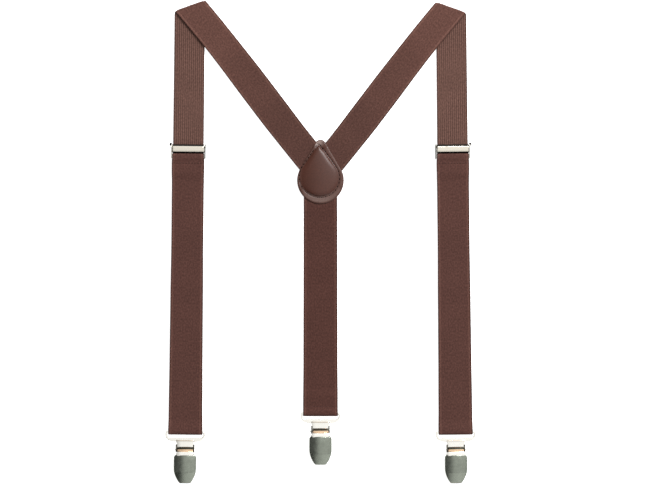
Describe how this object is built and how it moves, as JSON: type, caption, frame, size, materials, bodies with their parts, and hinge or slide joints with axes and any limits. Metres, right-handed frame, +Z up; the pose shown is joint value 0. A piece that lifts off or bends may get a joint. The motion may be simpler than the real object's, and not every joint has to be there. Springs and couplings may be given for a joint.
{
  "type": "suspenders",
  "caption": "Y-back elastic suspenders laid flat, with a leather back patch, metal strap adjusters and metal clips that grip a trouser waistband.",
  "frame": {"origin": "on the table, under the middle of the laid-out suspenders' box", "axes": "+Y from the clips towards the shoulder folds, +X to the right, +Z up from the table"},
  "size_m": [0.2934, 0.4567, 0.0066],
  "materials": {
    "webbing": "woven elastic, matt brown",
    "leather": "smooth brown, satin",
    "padding": "felt",
    "bright_nickel": "bright plated",
    "satin_nickel": "satin plated",
    "insert_plastic": "matt moulded",
    "thread": "twisted thread"
  },
  "bodies": {
    "root": {"patch_back_leather": "leather", "patch_front_leather": "leather", "patch_padding": "padding", "patch_stitching": "thread", "left_shoulder_web": "webbing", "right_shoulder_web": "webbing", "left_under_run": "webbing", "right_under_run": "webbing", "back_web": "webbing", "back_loop_stitching": "thread"},
    "left_clip_end": {"left_clip_loop": "webbing", "left_front_run": "webbing"},
    "left_adjuster": {"left_adjuster_frame": "bright_nickel", "left_adjuster_pin": "bright_nickel", "left_adjuster_loop": "webbing", "left_end_stitching": "thread"},
    "left_lever": {"left_adjuster_lever": "bright_nickel"},
    "left_clip_back": {"left_clip_frame": "bright_nickel", "left_clip_pin": "bright_nickel"},
    "left_clip_front": {"left_clip_jaw": "satin_nickel", "left_clip_insert": "insert_plastic"},
    "right_clip_end": {"right_clip_loop": "webbing", "right_front_run": "webbing"},
    "right_adjuster": {"right_adjuster_frame": "bright_nickel", "right_adjuster_pin": "bright_nickel", "right_adjuster_loop": "webbing", "right_end_stitching": "thread"},
    "right_lever": {"right_adjuster_lever": "bright_nickel"},
    "right_clip_back": {"right_clip_frame": "bright_nickel", "right_clip_pin": "bright_nickel"},
    "right_clip_front": {"right_clip_jaw": "satin_nickel", "right_clip_insert": "insert_plastic"},
    "back_clip_back": {"back_clip_frame": "bright_nickel", "back_clip_pin": "bright_nickel"},
    "back_clip_front": {"back_clip_jaw": "satin_nickel", "back_clip_insert": "insert_plastic"}
  },
  "joints": [
    {"name": "left_strap_length", "type": "slide", "parent": "root", "child": "left_clip_end", "axis": [0.0105, 0.9999, 0], "range_m": [-0.17, 0.04], "deforming": ["left_front_run", "left_under_run"]},
    {"name": "left_adjuster_slide", "type": "slide", "parent": "left_clip_end", "child": "left_adjuster", "axis": [0.0105, 0.9999, 0], "range_m": [-0.17, 0.04]},
    {"name": "left_lever_hinge", "type": "hinge", "parent": "left_adjuster", "child": "left_lever", "pos_m": [-0.12535, 0.09059, 0.004], "axis": [-0.9999, 0.0105, 0], "range_deg": [0, 85]},
    {"name": "left_clip_swing", "type": "hinge", "parent": "left_clip_end", "child": "left_clip_back", "pos_m": [-0.12819, -0.18009, 0.0028], "axis": [-0.9999, 0.0105, 0], "range_deg": [-80, 80]},
    {"name": "left_jaw_hinge", "type": "hinge", "parent": "left_clip_back", "child": "left_clip_front", "pos_m": [-0.12836, -0.19699, 0.0034], "axis": [-0.9999, 0.0105, 0], "range_deg": [0, 75]},
    {"name": "right_strap_length", "type": "slide", "parent": "root", "child": "right_clip_end", "axis": [-0.0105, 0.9999, 0], "range_m": [-0.17, 0.04], "deforming": ["right_front_run", "right_under_run"]},
    {"name": "right_adjuster_slide", "type": "slide", "parent": "right_clip_end", "child": "right_adjuster", "axis": [-0.0105, 0.9999, 0], "range_m": [-0.17, 0.04]},
    {"name": "right_lever_hinge", "type": "hinge", "parent": "right_adjuster", "child": "right_lever", "pos_m": [0.12535, 0.09059, 0.004], "axis": [-0.9999, -0.0105, 0], "range_deg": [0, 85]},
    {"name": "right_clip_swing", "type": "hinge", "parent": "right_clip_end", "child": "right_clip_back", "pos_m": [0.12819, -0.18009, 0.0028], "axis": [-0.9999, -0.0105, 0], "range_deg": [-80, 80]},
    {"name": "right_jaw_hinge", "type": "hinge", "parent": "right_clip_back", "child": "right_clip_front", "pos_m": [0.12836, -0.19699, 0.0034], "axis": [-0.9999, -0.0105, 0], "range_deg": [0, 75]},
    {"name": "back_clip_swing", "type": "hinge", "parent": "root", "child": "back_clip_back", "pos_m": [0, -0.1625, 0.0028], "axis": [-1, 0, 0], "range_deg": [-80, 80]},
    {"name": "back_jaw_hinge", "type": "hinge", "parent": "back_clip_back", "child": "back_clip_front", "pos_m": [0, -0.1794, 0.0034], "axis": [-1, 0, 0], "range_deg": [0, 75]}
  ],
  "couplings": [
    {"joint": "left_adjuster_slide", "follows": "left_strap_length", "ratio": 1},
    {"joint": "right_adjuster_slide", "follows": "right_strap_length", "ratio": 1}
  ]
}
